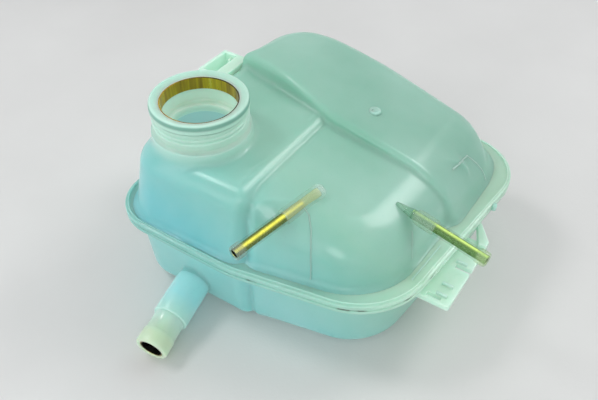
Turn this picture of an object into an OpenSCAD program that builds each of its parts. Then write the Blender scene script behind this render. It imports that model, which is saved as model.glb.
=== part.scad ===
// Coolant expansion tank: two moulded half shells welded at a flange, a filler neck, two vent
// spigots, one outlet pipe, and the brass ring and sleeves that stiffen them. Millimetres.
// The origin is the middle of the filler mouth, Z runs up the neck and X along the front.

/* [Walls and seam] */
// Thickness of the moulded walls
wall = 2.6; // [2:0.1:3.2]
// Thickness of each half of the weld flange
flange_t = 3.2; // [2.4:0.1:4.5]
// How far the flange stands out from the left wall
flange_left = 9.5; // [7:0.5:11]
// How far the flange stands out from the front wall of the left lobe
flange_front = 4.5; // [3.5:0.5:6]
// How far the flange stands out from the right and back walls
flange_right = 8; // [5:0.5:10]
// Gap along the rim of the flange that takes the weld flash
flash_gap = 0.8; // [0.4:0.1:1.4]
// Depth of that gap from the rim inwards
flash_depth = 1.6; // [1:0.1:2.4]
// Width of the raised bead along the flange
bead_w = 1.2; // [0.8:0.1:1.6]
// Height of the raised bead
bead_h = 1.1; // [0.6:0.1:1.6]
// Distance of the bead from the rim
bead_in = 1.6; // [1:0.1:2]
// Slope of the upper walls from the vertical, in degrees
draft_upper = 9; // [3:1:11]
// Slope of the lower walls from the vertical, in degrees
draft_lower = 5; // [2:1:8]

/* [Plan] */
// Left wall from the neck axis, at the seam
left_x = 38.5; // [37:0.5:41]
// Crease between the two front lobes, from the neck axis
crease_x = 57; // [54:1:60]
// Right wall at the front, from the neck axis
right_front_x = 141; // [138:1:146]
// Right wall at the back, from the neck axis
right_back_x = 157; // [152:1:162]
// Front wall of the left lobe, from the neck axis
front_left_y = 45; // [42:1:48]
// Front wall of the right lobe at the crease, from the neck axis
front_crease_y = 40; // [36:1:42]
// Front wall of the right lobe at its far corner, from the neck axis
front_right_y = 22; // [20:1:26]
// Back wall, from the neck axis
back_y = 143; // [138:1:148]
// Foot of the domed back at the left wall, from the neck axis
dome_left_y = 79; // [76:1:81]
// Foot of the domed back at the right wall, from the neck axis
dome_right_y = 58.5; // [56:0.5:61]
// How far that foot bends forward at its middle
dome_bow = 15; // [10:1:17]
// How far the domed back stands out past the front right wall
dome_step = 5; // [3:0.5:7]
// Plan radius of the left front corner
corner_left_r = 26; // [22:1:30]
// Plan radius of the right front corner
corner_right_r = 44; // [36:1:46]
// Plan radius of the back corners
corner_back_r = 34; // [28:1:38]
// Plan radius where the two front lobes meet
crease_r = 10; // [8:1:14]
// How much of a wall's pull-in its plan corners lose in radius
corner_keep = 0.5; // [0.3:0.1:1]

/* [Heights] */
// Mouth of the neck above the seam
mouth_h = 77.5; // [73:0.5:80]
// Flat top round the neck above the seam
neck_block_h = 50; // [47:1:52]
// Top of the spigot block above the seam, beside the neck
spigot_block_h = 45.5; // [43:0.5:46.5]
// Fall of the spigot block's top from the crease to its right wall
spigot_block_fall = 18.5; // [14:0.5:20]
// Top of the domed back above the seam
dome_h = 61; // [57:1:63]
// Fall of the dome from the neck to its right wall
dome_fall = 31; // [25:1:33]
// Where the dome's top starts to round off towards its right wall
dome_turn_x = 112; // [108:1:118]
// Radius of that rounding
dome_turn_r = 44; // [42:1:52]
// Fall of the dome's right end from its front to its back
dome_back_fall = 6; // [4:0.5:9]
// Depth of the lower shell under the left lobe
depth_left = 54; // [50:1:58]
// Depth of the lower shell under the right lobe
depth_right = 54; // [50:1:58]
// Edge radius of the top round the neck
neck_block_r = 14; // [8:1:16]
// Edge radius of the top of the spigot block
spigot_block_r = 28; // [20:1:30]
// Edge radius of the dome
dome_r = 14; // [10:1:18]
// Edge radius of the bottom
bottom_r = 12; // [8:1:16]

/* [Filler neck] */
// Outside diameter of the mouth rim
rim_d = 60.2; // [58.2:0.2:63]
// Height of the mouth rim
rim_h = 7.5; // [6:0.5:9]
// Diameter at the root of the cap thread
thread_root_d = 57.4; // [56:0.2:58]
// Diameter of the plain skirt below the thread
skirt_d = 62; // [60:0.5:64]
// Height of the skirt above the flat top
skirt_h = 8; // [5:0.5:10]
// Fall of the rim's face towards the mouth
lip_drop = 1.7; // [1:0.1:1.8]
// Bore of the brass ring in the mouth
mouth_d = 46.6; // [46.4:0.2:47.4]
// Bore of the neck below the ring
neck_bore_d = 47.6; // [47.2:0.2:47.8]
// Opening from the neck into the tank
throat_d = 40; // [36:0.5:42]
// Height of the ledge that narrows the neck, above the flat top
ledge_h = 8; // [6:0.5:10]
// Length of that opening
throat_l = 5.7; // [4:0.1:7]

/* [Brass] */
// Thickness of the brass ring in the mouth
ring_t = 0.8; // [0.7:0.1:1.2]
// Height of the brass ring
ring_h = 8; // [6:0.1:9]
// Depth of the ring below the rim
ring_drop = 1.9; // [1.9:0.1:2.4]
// Width of the ring's butt joint
ring_split = 0.8; // [0.4:0.1:1.5]
// Direction of the butt joint seen from the neck axis, in degrees
ring_split_angle = 62; // [40:2:80]
// Clearance between a brass part and the plastic round it
seat_gap = 0.05; // [0.02:0.01:0.08]
// Wall of the vent sleeves
vent_sleeve_t = 0.5; // [0.4:0.1:0.8]
// Wall of the outlet sleeve
outlet_sleeve_t = 0.8; // [0.6:0.1:1]
// Depth of the sleeves inside their tips
sleeve_drop = 0.6; // [0.4:0.1:1]

/* [Vent spigots] */
// Outside diameter of a vent spigot
vent_d = 8; // [7.6:0.1:8.4]
// Diameter of the hose bead at the tip
vent_bead_d = 9.2; // [8.8:0.1:9.6]
// Length of the tip that carries the bead
vent_tip_l = 8; // [6:0.5:10]
// Diameter of the stouter root
vent_root_d = 9.8; // [9.2:0.1:10.4]
// Bore of the vent spigots in the plastic
vent_bore_d = 5.8; // [5.4:0.1:6.2]
// Fall of the vent spigots towards their tips, in degrees
vent_fall = 6; // [2:1:8]
// Left vent: root along the front
vent_left_x = 83; // [79:1:86]
// Left vent: root from the neck axis towards the back
vent_left_y = 5.7; // [4.2:0.5:7.2]
// Left vent: height of the root above the seam
vent_left_z = 41; // [40:0.5:42]
// Left vent: direction from the X axis, in degrees
vent_left_turn = -104; // [-107:1:-101]
// Left vent: length from root to tip
vent_left_l = 66.5; // [62:0.5:71]
// Left vent: length of the stouter root
vent_left_root_l = 30; // [26:1:34]
// Right vent: root along the front
vent_right_x = 120; // [118:0.5:122]
// Right vent: root from the neck axis towards the back
vent_right_y = 29.7; // [28.2:0.5:31.2]
// Right vent: height of the root above the seam
vent_right_z = 30.5; // [29.5:0.5:32]
// Right vent: direction from the X axis, in degrees
vent_right_turn = -6.5; // [-9:0.5:-4]
// Right vent: length from root to tip
vent_right_l = 62.5; // [58:0.5:67]
// Right vent: length of the stouter root
vent_right_root_l = 28; // [24:1:32]
// Length of the brass sleeves in the vents
vent_sleeve_l = 50; // [40:1:54]

/* [Outlet pipe] */
// Outside diameter of the hose length
outlet_d = 20; // [19.4:0.2:20.6]
// Diameter of the bead at the tip
outlet_bead_d = 21.4; // [21:0.2:22]
// Length of the rounded tip that carries the bead
outlet_tip_l = 11; // [8:0.5:13]
// Diameter of the stouter root
outlet_root_d = 23; // [22.2:0.2:24]
// Length of the stouter root from its place on the front wall
outlet_root_l = 23; // [19:1:27]
// Length from the front wall to the tip
outlet_l = 46; // [42:1:50]
// Bore of the outlet in the plastic
outlet_bore_d = 15.6; // [15:0.2:16.4]
// Outlet: place along the front, at the flange rim
outlet_x = 17.5; // [15:0.5:20]
// Outlet: place of its root in front of the neck axis
outlet_y = 49.5; // [48:0.5:51]
// Outlet: depth of its axis below the seam, at that place
outlet_z = 38; // [36:0.5:39]
// Outlet: direction from the X axis, in degrees
outlet_turn = -81; // [-84:1:-78]
// Outlet: fall towards the tip, in degrees
outlet_fall = 8; // [4:1:10]
// Length of the brass sleeve in the outlet
outlet_sleeve_l = 25; // [20:1:28]

/* [Brackets] */
// Thickness of the bracket walls
bracket_t = 2.4; // [1.8:0.1:3]
// Outer face of the right bracket, from the neck axis
bracket_x = 170.5; // [168:0.5:173]
// Depth of the top of the right bracket below the seam
bracket_drop = 8.5; // [7:0.5:10]
// Thickness of the right bracket's plate
bracket_plate = 4; // [3:0.5:6]
// Front end of the right bracket, behind the neck axis
bracket_y = 6.5; // [4:0.5:9]
// Length of its front block
bracket_front_l = 31; // [28:1:34]
// Width of the open slot between its two blocks
bracket_slot = 3.5; // [3:0.5:5]
// Depth of that slot from the outer face
bracket_slot_in = 10; // [8:0.5:11]
// Length of its back block
bracket_back_l = 25; // [22:1:28]
// Length of the closed slot at the front end
front_slot_l = 9; // [7:0.5:10]
// Width of that slot
front_slot_w = 2.5; // [2:0.1:3.2]
// Length of the gusset at the back
gusset_l = 15; // [12:1:18]
// Height of the gusset
gusset_h = 7; // [5:0.5:9]
// Length of the raised bars on the bracket
bar_l = 7; // [5:0.5:8]
// Width and height of the raised bars
bar_w = 1.8; // [1.2:0.1:2.2]
// Outer face of the left socket, from the neck axis
socket_x = 51; // [49:1:54]
// Front face of the left socket, behind the neck axis
socket_y = 57; // [54:1:60]
// Length of the left socket along the wall
socket_l = 30; // [26:1:34]
// Top of the left socket above the seam
socket_top = 49; // [46:0.5:49.5]
// Depth of the left socket
socket_depth = 30; // [20:1:36]
// Diameter of the gate mark on the dome
gate_d = 8; // [6:0.5:9]
// Height of the gate mark
gate_h = 1; // [0.5:0.1:1.5]
// Place of the gate mark along the front
gate_x = 75.5; // [73:0.5:79]
// Place of the gate mark behind the neck axis
gate_y = 81.5; // [80:0.5:90]

/* [Hidden] */
// Segments of a corner arc in plan
arc_n = 7;
// Steps of an edge fillet
fillet_n = 5;
// Points between the corners of a long edge
edge_n = 7;
// Facets of the round parts
$fn = 64;
// Small overrun for cuts
eps = 0.6;
// Smallest radius that a plan corner shrinks to
tight_r = 7;
vent_sleeve_od = vent_bore_d - 2 * seat_gap;
outlet_sleeve_od = outlet_bore_d - 2 * seat_gap;
ring_od = mouth_d + 2 * ring_t;
ring_seat_d = ring_od + 2 * seat_gap;
ring_z = mouth_h - ring_drop - ring_h;
left_vent_at = [vent_left_x, vent_left_y, vent_left_z];
right_vent_at = [vent_right_x, vent_right_y, vent_right_z];
outlet_at = [outlet_x, -outlet_y, -outlet_z];
bracket_back_y = bracket_y + bracket_front_l + bracket_slot + bracket_back_l;

// Plans, anticlockwise from the front left: x, y, corner radius, and how much of the side's
// pull-in the edge after the corner takes, where 0 keeps it upright
neck_plan = [[-left_x, -front_left_y, corner_left_r, 1],
             [crease_x + 0.5, -front_left_y + 3, crease_r + 2, 0.45],
             [crease_x + 0.5, dome_left_y + 16, tight_r, 0],
             [-left_x, dome_left_y + 16, tight_r, 1]];
spigot_plan = [[crease_x - 2, -front_crease_y, crease_r, 1],
               [right_front_x, -front_right_y, corner_right_r, 1],
               [right_front_x + 5, dome_left_y + 16, tight_r, 0],
               [crease_x - 2, dome_left_y + 16, tight_r, -0.2]];
dome_plan = [[-left_x, dome_left_y, tight_r, 0.25, dome_bow],
             [right_front_x + 5 + dome_step, dome_right_y, tight_r, 1],
             [right_back_x, back_y, corner_back_r, 1],
             [-left_x + 8, back_y, corner_back_r, 1]];
lower_left_plan = [[-left_x, -front_left_y, corner_left_r, 1],
                   [crease_x + 0.5, -front_left_y + 3, crease_r + 2, 0.1],
                   [crease_x + 0.5, back_y, tight_r, 1],
                   [-left_x + 8, back_y, corner_back_r, 1]];
lower_right_plan = [[crease_x - 2, -front_crease_y, crease_r, 1],
                    [right_front_x, -front_right_y, corner_right_r, 1],
                    [right_back_x, back_y, corner_back_r, 1],
                    [crease_x - 2, back_y, tight_r, 0.1]];
flange_plan = [[-left_x - flange_left, -front_left_y - flange_front, 32, 1],
               [crease_x - 5, -front_left_y - flange_front + 0.4, 80, 1],
               [right_front_x + 1.2 * flange_right, -front_right_y - flange_right, 48, 1],
               [right_back_x + 1.2 * flange_right, back_y + flange_right, 40, 1],
               [-left_x - flange_left / 2, back_y + flange_right, 38, 1]];

function unit(v) = v / norm(v);
function left_of(v) = [-v.y, v.x];
function xy(p) = [p.x, p.y];
// Points of one corner of a plan, its edges pulled in by start plus their share of pull
function corner_points(plan, i, start, pull) =
    let (n = len(plan), before = plan[(i + n - 1) % n], here = plan[i],
         a = unit(xy(here) - xy(before)), b = unit(xy(plan[(i + 1) % n]) - xy(here)),
         na = left_of(a), nb = left_of(b), c = na * nb,
         da = start + pull * before[3], db = start + pull * here[3],
         inner = xy(here) + (na * (da - db * c) + nb * (db - da * c)) / (1 - c * c),
         r = max(here[2] - start - corner_keep * pull, min(here[2], tight_r)),
         centre = inner + (na + nb) * r / (1 + c),
         first = atan2(-na.y, -na.x), sweep = atan2(a.x * b.y - a.y * b.x, a * b))
    [for (k = [0 : arc_n]) centre + r * [cos(first + sweep * k / arc_n),
                                         sin(first + sweep * k / arc_n)]];
function outline(plan, start) = [for (i = [0 : len(plan) - 1], p = corner_points(plan, i, start, 0)) p];
function between(p, q, n) = [for (k = [1 : n]) p + (q - p) * k / (n + 1)];
// The same, bent forward at the middle by a plan's bow
function bent(p, q, n, bow) = [for (k = [1 : n]) let (t = k / (n + 1)) p + (q - p) * t - [0, bow * (1 - abs(2 * t - 1))]];
// A four-cornered outline with its front and back edges divided, so that they can curve
function ring(plan, start, pull) =
    let (c = [for (i = [0 : 3]) corner_points(plan, i, start, pull)],
         bow = is_undef(plan[0][4]) ? 0 : plan[0][4])
    concat(c[0], bent(c[0][arc_n], c[1][0], edge_n, bow), c[1],
           c[2], between(c[2][arc_n], c[3][0], edge_n), c[3]);
// Side profile of a moulded form: height and pull-in of each ring, from the seam to the flat
function profile(h, draft, r) =
    let (middle = (h - r) * tan(draft) + r / cos(draft))
    [for (k = [0 : fillet_n]) let (t = draft + (90 - draft) * k / fillet_n)
        [h - r + r * sin(t), middle - r * cos(t)]];

// Height of the dome over a place in plan
function dome_top(p) = let (x = p.x, back = (p.y - dome_right_y) / (back_y - dome_right_y))
    max(2 * wall, dome_h - dome_fall * pow(max(x - 15, 0) / (right_front_x - 15), 1.25)
        - pow(max(x - dome_turn_x, 0), 2) / (2 * dome_turn_r) - pow(min(x - 15, 0), 2) / 800
        - dome_back_fall * max(back, 0) * max(x - crease_x, 0) / (right_front_x - crease_x));

// A drafted form with a rolled edge, from its plan. top_at(p) is its height over a place, and
// inset pulls all of it in, for the cavity, which then also reaches below the seam
module moulded(plan, h, draft, r, inset, top_at) {
    levels = concat([[inset > 0 ? -eps : 0, 0]], profile(h - inset, draft, r - inset));
    outer = [for (l = levels) ring(plan, inset, l[1])];
    n = len(outer[0]);
    top = (len(levels) - 1) * n;
    points = [for (j = [0 : len(levels) - 1], p = outer[j]) [p.x, p.y, levels[j][0] * (top_at(p) - inset) / (h - inset)]];
    sides = [for (j = [0 : len(levels) - 2], i = [0 : n - 1])
        [j * n + i, (j + 1) * n + i, (j + 1) * n + (i + 1) % n, j * n + (i + 1) % n]];
    cap = [for (i = [0 : n / 2 - 2]) [top + i, top + n - 1 - i, top + n - 2 - i, top + i + 1]];
    polyhedron(points, concat(sides, cap, [[for (i = [0 : n - 1]) i]]), convexity = 6);
}

// The outside of the upper shell, or with an inset its cavity
module upper_form(inset) {
    neck_top = function (p) neck_block_h;
    spigot_top = function (p) spigot_block_h - spigot_block_fall * (p.x - crease_x) / (right_front_x - crease_x);
    moulded(neck_plan, neck_block_h, draft_upper, neck_block_r, inset, neck_top);
    moulded(spigot_plan, spigot_block_h, draft_upper, spigot_block_r, inset, spigot_top);
    moulded(dome_plan, dome_h, draft_upper, dome_r, inset, function (p) dome_top(p));
}

// The outside of the lower shell, or with an inset its cavity
module lower_form(inset) {
    mirror([0, 0, 1]) {
        moulded(lower_left_plan, depth_left, draft_lower, bottom_r, inset, function (p) depth_left);
        moulded(lower_right_plan, depth_right, draft_lower, bottom_r, inset, function (p) depth_right);
    }
}

// The gap that joins the cavities of the two lobes
module lobe_passage(h) {
    translate([crease_x - 12, -front_crease_y + 14, -eps])
        cube([24, back_y + front_crease_y - 30, h + eps]);
}

// Half of the weld flange, with the rim cut back to take the flash
module flange_half() {
    linear_extrude(flange_t) polygon(outline(flange_plan, flash_depth));
    translate([0, 0, flash_gap / 2]) linear_extrude(flange_t - flash_gap / 2)
        polygon(outline(flange_plan, 0));
}

module flange_bead() {
    translate([0, 0, flange_t - eps]) linear_extrude(bead_h + eps) difference() {
        polygon(outline(flange_plan, bead_in));
        polygon(outline(flange_plan, bead_in + bead_w));
    }
}

// Places a tube that is drawn along Z, with its root at a point, turned and falling to its tip
module point_tube(at, turn, fall) {
    translate(at) rotate([0, 90 + fall, turn]) children();
}

// A hose spigot along Z: stouter root, hose length, bead, rounded tip
module spigot_body(root_in, root_r, root_l, hose_r, bead_r, tip_l, l) {
    round_r = (bead_r - hose_r) + 0.6;
    rotate_extrude() polygon(concat(
        [[0, -root_in], [root_r * 0.6, -root_in], [root_r * 0.9, -root_in + root_r * 0.3],
         [root_r, -root_in + root_r * 0.7], [root_r, root_l - 0.4], [root_r - 0.4, root_l],
         [hose_r, root_l], [hose_r, l - tip_l], [bead_r, l - tip_l + 2 * (bead_r - hose_r)]],
        [for (k = [0 : 4]) [bead_r - round_r + round_r * cos(22.5 * k),
                            l - round_r + round_r * sin(22.5 * k)]],
        [[0, l]]));
}

module vent_body(l, root_l) {
    spigot_body(4, vent_root_d / 2, root_l, vent_d / 2, vent_bead_d / 2, vent_tip_l, l);
}

// The vent bore, and the drop hole at its root that opens into the tank
module vent_bore(at, turn, l) {
    point_tube(at, turn, vent_fall) cylinder(d = vent_bore_d, h = l + eps);
    translate([at.x, at.y, at.z - 14]) cylinder(d = vent_bore_d - 1, h = 14);
}

// Outside of the filler neck, from inside the flat top to the rim
module neck_body() {
    skirt_top = neck_block_h + skirt_h;
    rim_foot = mouth_h - rim_h;
    rotate_extrude() polygon([[0, neck_block_h - wall / 2], [skirt_d / 2, neck_block_h - wall / 2],
        [skirt_d / 2, skirt_top - 1], [skirt_d / 2 - 1, skirt_top], [thread_root_d / 2, skirt_top + 0.6],
        [thread_root_d / 2, rim_foot - 1.6], [thread_root_d / 2 - 0.8, rim_foot - 1],
        [thread_root_d / 2 - 0.8, rim_foot - 0.3], [rim_d / 2 - 0.6, rim_foot], [rim_d / 2, rim_foot + 0.8],
        [rim_d / 2, mouth_h - 1.6], [rim_d / 2 - 0.4, mouth_h - 0.5], [rim_d / 2 - 1.2, mouth_h],
        [ring_seat_d / 2, mouth_h - lip_drop], [0, mouth_h - lip_drop]]);
}

// Inside of the filler neck: the seat of the ring, the bore and the throat into the tank
module neck_hollow() {
    ledge_z = neck_block_h + ledge_h;
    translate([0, 0, ring_z]) cylinder(d = ring_seat_d, h = mouth_h - ring_z + eps);
    translate([0, 0, ledge_z]) cylinder(d = neck_bore_d, h = ring_z - ledge_z + eps);
    translate([0, 0, ledge_z - throat_l - eps]) cylinder(d = throat_d, h = throat_l + 2 * eps);
    translate([0, 0, neck_block_h - 3 * wall])
        cylinder(d = skirt_d - 4 * wall, h = ledge_h - throat_l + 3 * wall);
}

// Square socket on the left wall
module left_socket() {
    translate([-socket_x, socket_y, socket_top - socket_depth - bracket_t])
        cube([socket_x - left_x + 8, socket_l, socket_depth + bracket_t]);
}

module left_socket_hollow() {
    translate([-socket_x + bracket_t, socket_y + bracket_t, socket_top - socket_depth])
        difference() {
            cube([socket_x - left_x - bracket_t, socket_l - 2 * bracket_t, socket_depth + eps]);
            translate([(socket_x - left_x - bracket_t) / 2, socket_l - 2 * bracket_t - 3, -eps])
                cube([bracket_t / 2, 3 + eps, socket_depth - 4]);
        }
}

// Slotted plate under the flange on the right, with a thin gusset wall at its back
module right_bracket() {
    in_x = right_front_x - 4;
    slot_y = bracket_y + bracket_front_l;
    gusset_x = right_front_x + 18;
    translate([0, 0, -bracket_drop - bracket_plate]) {
        difference() {
            translate([in_x, bracket_y, 0])
                cube([bracket_x - in_x, bracket_back_y - bracket_y, bracket_plate]);
            translate([bracket_x - bracket_slot_in, slot_y, -eps])
                cube([bracket_slot_in + eps, bracket_slot, bracket_plate + 2 * eps]);
            translate([bracket_x - bracket_t - 4 - front_slot_l, bracket_y + bracket_t, -eps])
                cube([front_slot_l, front_slot_w, bracket_plate + 2 * eps]);
        }
        for (y = [bracket_y + bracket_t + front_slot_w + 0.4, bracket_y + 14, slot_y + bracket_slot + 0.4])
            translate([bracket_x - bracket_t - 1.5 - bar_l, y, bracket_plate - eps])
                cube([bar_l, bar_w, bar_w + eps]);
        linear_extrude(gusset_h) polygon([
            [bracket_x - 2 * bracket_t, bracket_back_y - 2 * bracket_t], [bracket_x, bracket_back_y - 2 * bracket_t],
            [bracket_x, bracket_back_y], [gusset_x, bracket_back_y + gusset_l],
            [in_x + 6, bracket_back_y + gusset_l], [in_x + 6, bracket_back_y + gusset_l - bracket_t],
            [gusset_x - bracket_t / 2, bracket_back_y + gusset_l - bracket_t]]);
    }
}

module upper_shell() {
    color([0.62, 0.83, 0.80]) difference() {
        union() {
            difference() {
                union() {
                    upper_form(0);
                    flange_half();
                    flange_bead();
                    left_socket();
                }
                upper_form(wall);
                lobe_passage(spigot_block_h - 10);
                left_socket_hollow();
            }
            neck_body();
            point_tube(left_vent_at, vent_left_turn, vent_fall) vent_body(vent_left_l, vent_left_root_l);
            point_tube(right_vent_at, vent_right_turn, vent_fall) vent_body(vent_right_l, vent_right_root_l);
            translate([gate_x, gate_y, dome_top([gate_x, gate_y]) - wall / 2]) difference() {
                cylinder(d = gate_d, h = wall / 2 + gate_h);
                translate([0, 0, wall / 2 + gate_h / 2]) cylinder(d = gate_d / 2, h = gate_h);
            }
        }
        neck_hollow();
        vent_bore(left_vent_at, vent_left_turn, vent_left_l);
        vent_bore(right_vent_at, vent_right_turn, vent_right_l);
    }
}

module lower_shell() {
    color([0.55, 0.80, 0.79]) difference() {
        union() {
            lower_form(0);
            mirror([0, 0, 1]) flange_half();
            right_bracket();
            point_tube(outlet_at, outlet_turn, outlet_fall)
                spigot_body(15, outlet_root_d / 2, outlet_root_l, outlet_d / 2, outlet_bead_d / 2,
                            outlet_tip_l, outlet_l);
        }
        lower_form(wall);
        mirror([0, 0, 1]) lobe_passage(depth_right - 14);
        point_tube(outlet_at, outlet_turn, outlet_fall)
            translate([0, 0, -18]) cylinder(d = outlet_bore_d, h = outlet_l + 18 + eps);
    }
}

// Split brass ring inside the mouth
module mouth_ring() {
    color([0.66, 0.53, 0.16]) translate([0, 0, ring_z]) difference() {
        cylinder(d = ring_od, h = ring_h);
        translate([0, 0, -eps]) cylinder(d = mouth_d, h = ring_h + 2 * eps);
        rotate([0, 0, ring_split_angle]) translate([0, -ring_split / 2, -eps])
            cube([ring_od, ring_split, ring_h + 2 * eps]);
    }
}

// A brass sleeve along Z that ends a little inside a tip
module sleeve(od, t, l, tip_z) {
    color([0.78, 0.66, 0.20]) translate([0, 0, tip_z - sleeve_drop - l]) difference() {
        cylinder(d = od, h = l);
        translate([0, 0, -eps]) cylinder(d = od - 2 * t, h = l + 2 * eps);
    }
}

module vent_sleeve_left() {
    point_tube(left_vent_at, vent_left_turn, vent_fall)
        sleeve(vent_sleeve_od, vent_sleeve_t, vent_sleeve_l, vent_left_l);
}

module vent_sleeve_right() {
    point_tube(right_vent_at, vent_right_turn, vent_fall)
        sleeve(vent_sleeve_od, vent_sleeve_t, vent_sleeve_l, vent_right_l);
}

module outlet_sleeve() {
    point_tube(outlet_at, outlet_turn, outlet_fall)
        sleeve(outlet_sleeve_od, outlet_sleeve_t, outlet_sleeve_l, outlet_l);
}

translate([0, 0, -mouth_h]) {
    upper_shell();
    lower_shell();
    mouth_ring();
    vent_sleeve_left();
    vent_sleeve_right();
    outlet_sleeve();
}
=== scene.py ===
"""Looks of the coolant expansion tank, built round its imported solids. Lengths are in millimetres
in the tank's own measure: X along the front, Y to the back, Z up from the seam plane, with the
neck's axis at X = Y = 0. They are turned into metres, from the mouth of the neck, at the end."""
import math

import bmesh
import bpy
import numpy as np
from mathutils import Matrix, Vector


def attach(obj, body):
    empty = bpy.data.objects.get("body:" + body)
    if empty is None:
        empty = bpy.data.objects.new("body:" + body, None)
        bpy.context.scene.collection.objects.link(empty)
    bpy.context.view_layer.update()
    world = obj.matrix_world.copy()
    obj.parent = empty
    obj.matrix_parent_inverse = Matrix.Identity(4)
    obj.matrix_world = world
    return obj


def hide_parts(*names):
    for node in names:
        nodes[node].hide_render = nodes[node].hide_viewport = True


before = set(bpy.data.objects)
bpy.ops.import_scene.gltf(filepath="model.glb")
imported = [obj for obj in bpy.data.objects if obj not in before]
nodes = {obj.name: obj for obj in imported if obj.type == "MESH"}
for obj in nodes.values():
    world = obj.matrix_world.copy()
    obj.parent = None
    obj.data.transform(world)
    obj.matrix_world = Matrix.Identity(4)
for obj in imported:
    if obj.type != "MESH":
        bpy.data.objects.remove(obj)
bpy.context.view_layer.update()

# Camera
MOUTH = 77.5
camera_data = bpy.data.cameras.new("camera")
camera_data.sensor_width = 36.0
camera_data.lens = 42.14
camera = bpy.data.objects.new("camera", camera_data)
bpy.context.scene.collection.objects.link(camera)
bpy.context.scene.camera = camera
forward = Vector((-0.404, 0.610, -0.682)).normalized()
right = forward.cross(Vector((0, 0, 1))).normalized()
up = right.cross(forward)
turn = Matrix((right, up, -forward)).transposed().to_4x4()
camera.matrix_world = Matrix.Translation(Vector((238.7, -253.4, 314.1 - MOUTH)) / 1000) @ turn

# Sizes shared by several pieces
WALL = 2.6
NECK_TOP = 50.0
LEFT = 38.5
CREASE = 57.0
FRONT = 45.0
BACK = 143.0
RIGHT_FRONT = 141.0
RIGHT_BACK = 157.0
SPIGOT_TOP = 45.5
DOME_TOP = 61.0
DEPTH = 54.0
VENTS = {
    "left": ((83.0, 5.7, 41.0), -104.0, 66.5, 30.0),
    "right": ((120.0, 29.7, 30.5), -6.5, 62.5, 28.0),
}
VENT_FALL = 6.0
OUTLET = ((17.5, -49.5, -38.0), -81.0, 46.0, 23.0)
OUTLET_FALL = 8.0
VENT_BORE, OUTLET_BORE = 2.9, 7.8
VENT_SLEEVE = 2.85, 2.35
OUTLET_SLEEVE = 7.75, 6.95


def direction(turn_deg, fall_deg):
    turn, fall = math.radians(turn_deg), math.radians(fall_deg)
    return np.array([math.cos(fall) * math.cos(turn), math.cos(fall) * math.sin(turn), -math.sin(fall)])


# Signed distances: negative inside


def smooth_min(a, b, k):
    h = np.clip(0.5 + 0.5 * (b - a) / k, 0, 1)
    return b + (a - b) * h - k * h * (1 - h)


def round_max(a, b, r, c=0.0):
    """Both solids at once, their common edge rounded to radius r. c is the cosine between normals."""
    p, q = a + r, b + r
    corner = (p - c * q > 0) & (q - c * p > 0)
    arc = np.sqrt(np.maximum(p * p + q * q - 2 * c * p * q, 0) / (1 - c * c)) - r
    return np.where(corner, arc, np.maximum(a, b))


class Edge:
    """A wall that stands on a line in plan and leans inwards as it rises."""

    def __init__(self, start, end, lean, roll):
        self.start = np.array(start, float)
        along = np.array(end, float) - self.start
        along /= np.linalg.norm(along)
        self.normal = np.array([along[1], -along[0]])
        self.slope = math.tan(math.radians(lean))
        self.roll = roll

    def distance(self, x, y, z):
        flat = (x - self.start[0]) * self.normal[0] + (y - self.start[1]) * self.normal[1]
        return (flat + self.slope * z) / math.hypot(1, self.slope)


class BentEdge(Edge):
    """A wall on two lines that meet at a rounded corner."""

    def __init__(self, start, bend, end, lean, roll):
        super().__init__(start, end, lean, roll)
        self.parts = Edge(start, bend, lean, roll), Edge(bend, end, lean, roll)
        self.cosine = float(self.parts[0].normal @ self.parts[1].normal)

    def distance(self, x, y, z):
        return round_max(self.parts[0].distance(x, y, z), self.parts[1].distance(x, y, z), 25, self.cosine)


def block(x, y, z, corners, walls, top):
    """A drafted block on four walls (front, right, back, left) under a flat top, all edges rounded.
    Its upright corners tighten as it rises."""
    tightening = 0.08
    front, right, back, left = [w.distance(x, y, z) for w in walls]
    along = np.maximum(front, back)
    across = np.maximum(left, right)
    is_right = right > left
    is_back = back > front
    radius = np.where(is_back, np.where(is_right, corners[2], corners[3]),
                      np.where(is_right, corners[1], corners[0]))
    radius = np.maximum(radius - tightening * np.maximum(z, 0), 3)

    def cosine(i, j):
        return float(walls[i].normal @ walls[j].normal)

    c = np.where(is_back, np.where(is_right, cosine(2, 1), cosine(2, 3)),
                 np.where(is_right, cosine(0, 1), cosine(0, 3)))
    side = round_max(along, across, radius, c)
    weights = [np.exp(np.clip((d - side) / 5, -30, 0)) for d in (front, right, back, left)]
    roll = sum(w * wall.roll for w, wall in zip(weights, walls)) / sum(weights)
    return round_max(side, z - top, roll, 0.15)


def walls_of(points, leans, rolls):
    return [Edge(points[i], points[(i + 1) % 4], leans[i], rolls[i]) for i in range(4)]


def dome_top(x, y):
    """Height of the dome's top, which falls to both sides and to the back right."""
    end = np.clip((x - CREASE) / 84, 0, 1.3) * np.maximum(y - 58.5, 0) / 84.5
    top = DOME_TOP - 31 * (np.maximum(x - 15, 0) / 126) ** 1.25 - 0.00125 * np.maximum(15 - x, 0) ** 2
    return np.maximum(top - np.maximum(x - 112, 0) ** 2 / 88 - 6 * end, 5)


def spigot_top(x):
    """Height of the block that carries the vent spigots, which falls to the right."""
    return SPIGOT_TOP - 18.5 * (x - CREASE) / 84


def capsule(x, y, z, start, end, r):
    """A round rod with round ends."""
    start, end = np.array(start, float), np.array(end, float)
    d = end - start
    t = np.clip(((x - start[0]) * d[0] + (y - start[1]) * d[1] + (z - start[2]) * d[2]) / (d @ d), 0, 1)
    return np.sqrt((x - start[0] - t * d[0]) ** 2 + (y - start[1] - t * d[1]) ** 2
                   + (z - start[2] - t * d[2]) ** 2) - r


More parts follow.
